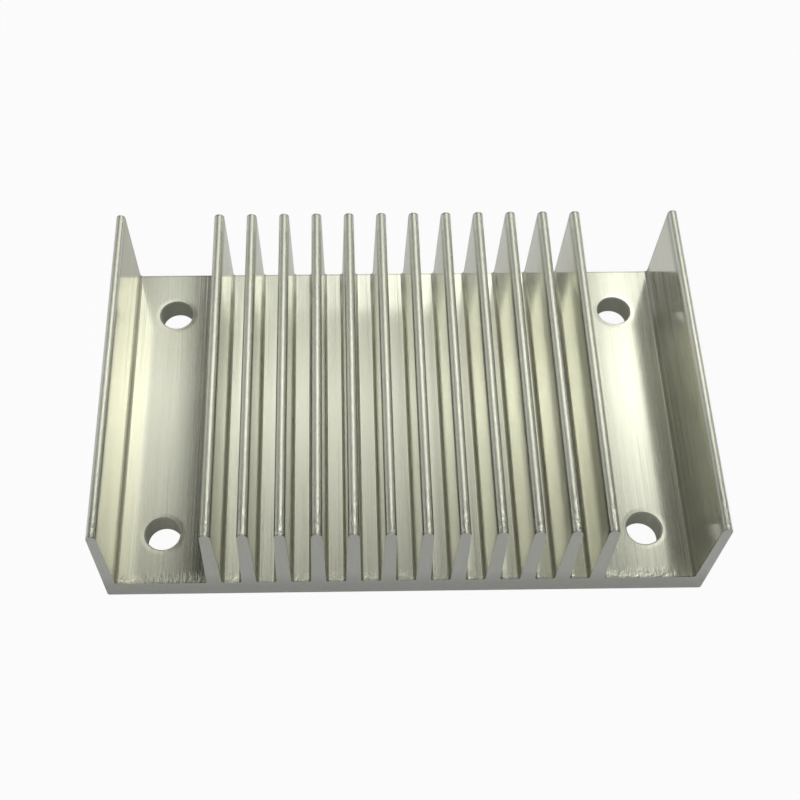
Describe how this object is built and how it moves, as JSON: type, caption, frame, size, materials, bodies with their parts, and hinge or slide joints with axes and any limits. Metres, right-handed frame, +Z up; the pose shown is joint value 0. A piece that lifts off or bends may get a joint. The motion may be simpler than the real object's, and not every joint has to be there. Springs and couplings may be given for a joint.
{
  "type": "heat sink",
  "caption": "Low extruded aluminium heat sink with upright fins, two side walls and screw holes in the open bays beside the fins.",
  "frame": {"origin": "centre of the underside of the base, which lies on the module", "axes": "+X across the fins, +Y along the fins and channels, +Z up from the base to the fin tips"},
  "size_m": [0.058, 0.0368, 0.0127],
  "materials": {
    "mill_aluminium": "extruded and sawn aluminium with a thin clear conversion coat"
  },
  "bodies": {
    "root": {"heat_sink": "mill_aluminium"}
  },
  "joints": []
}
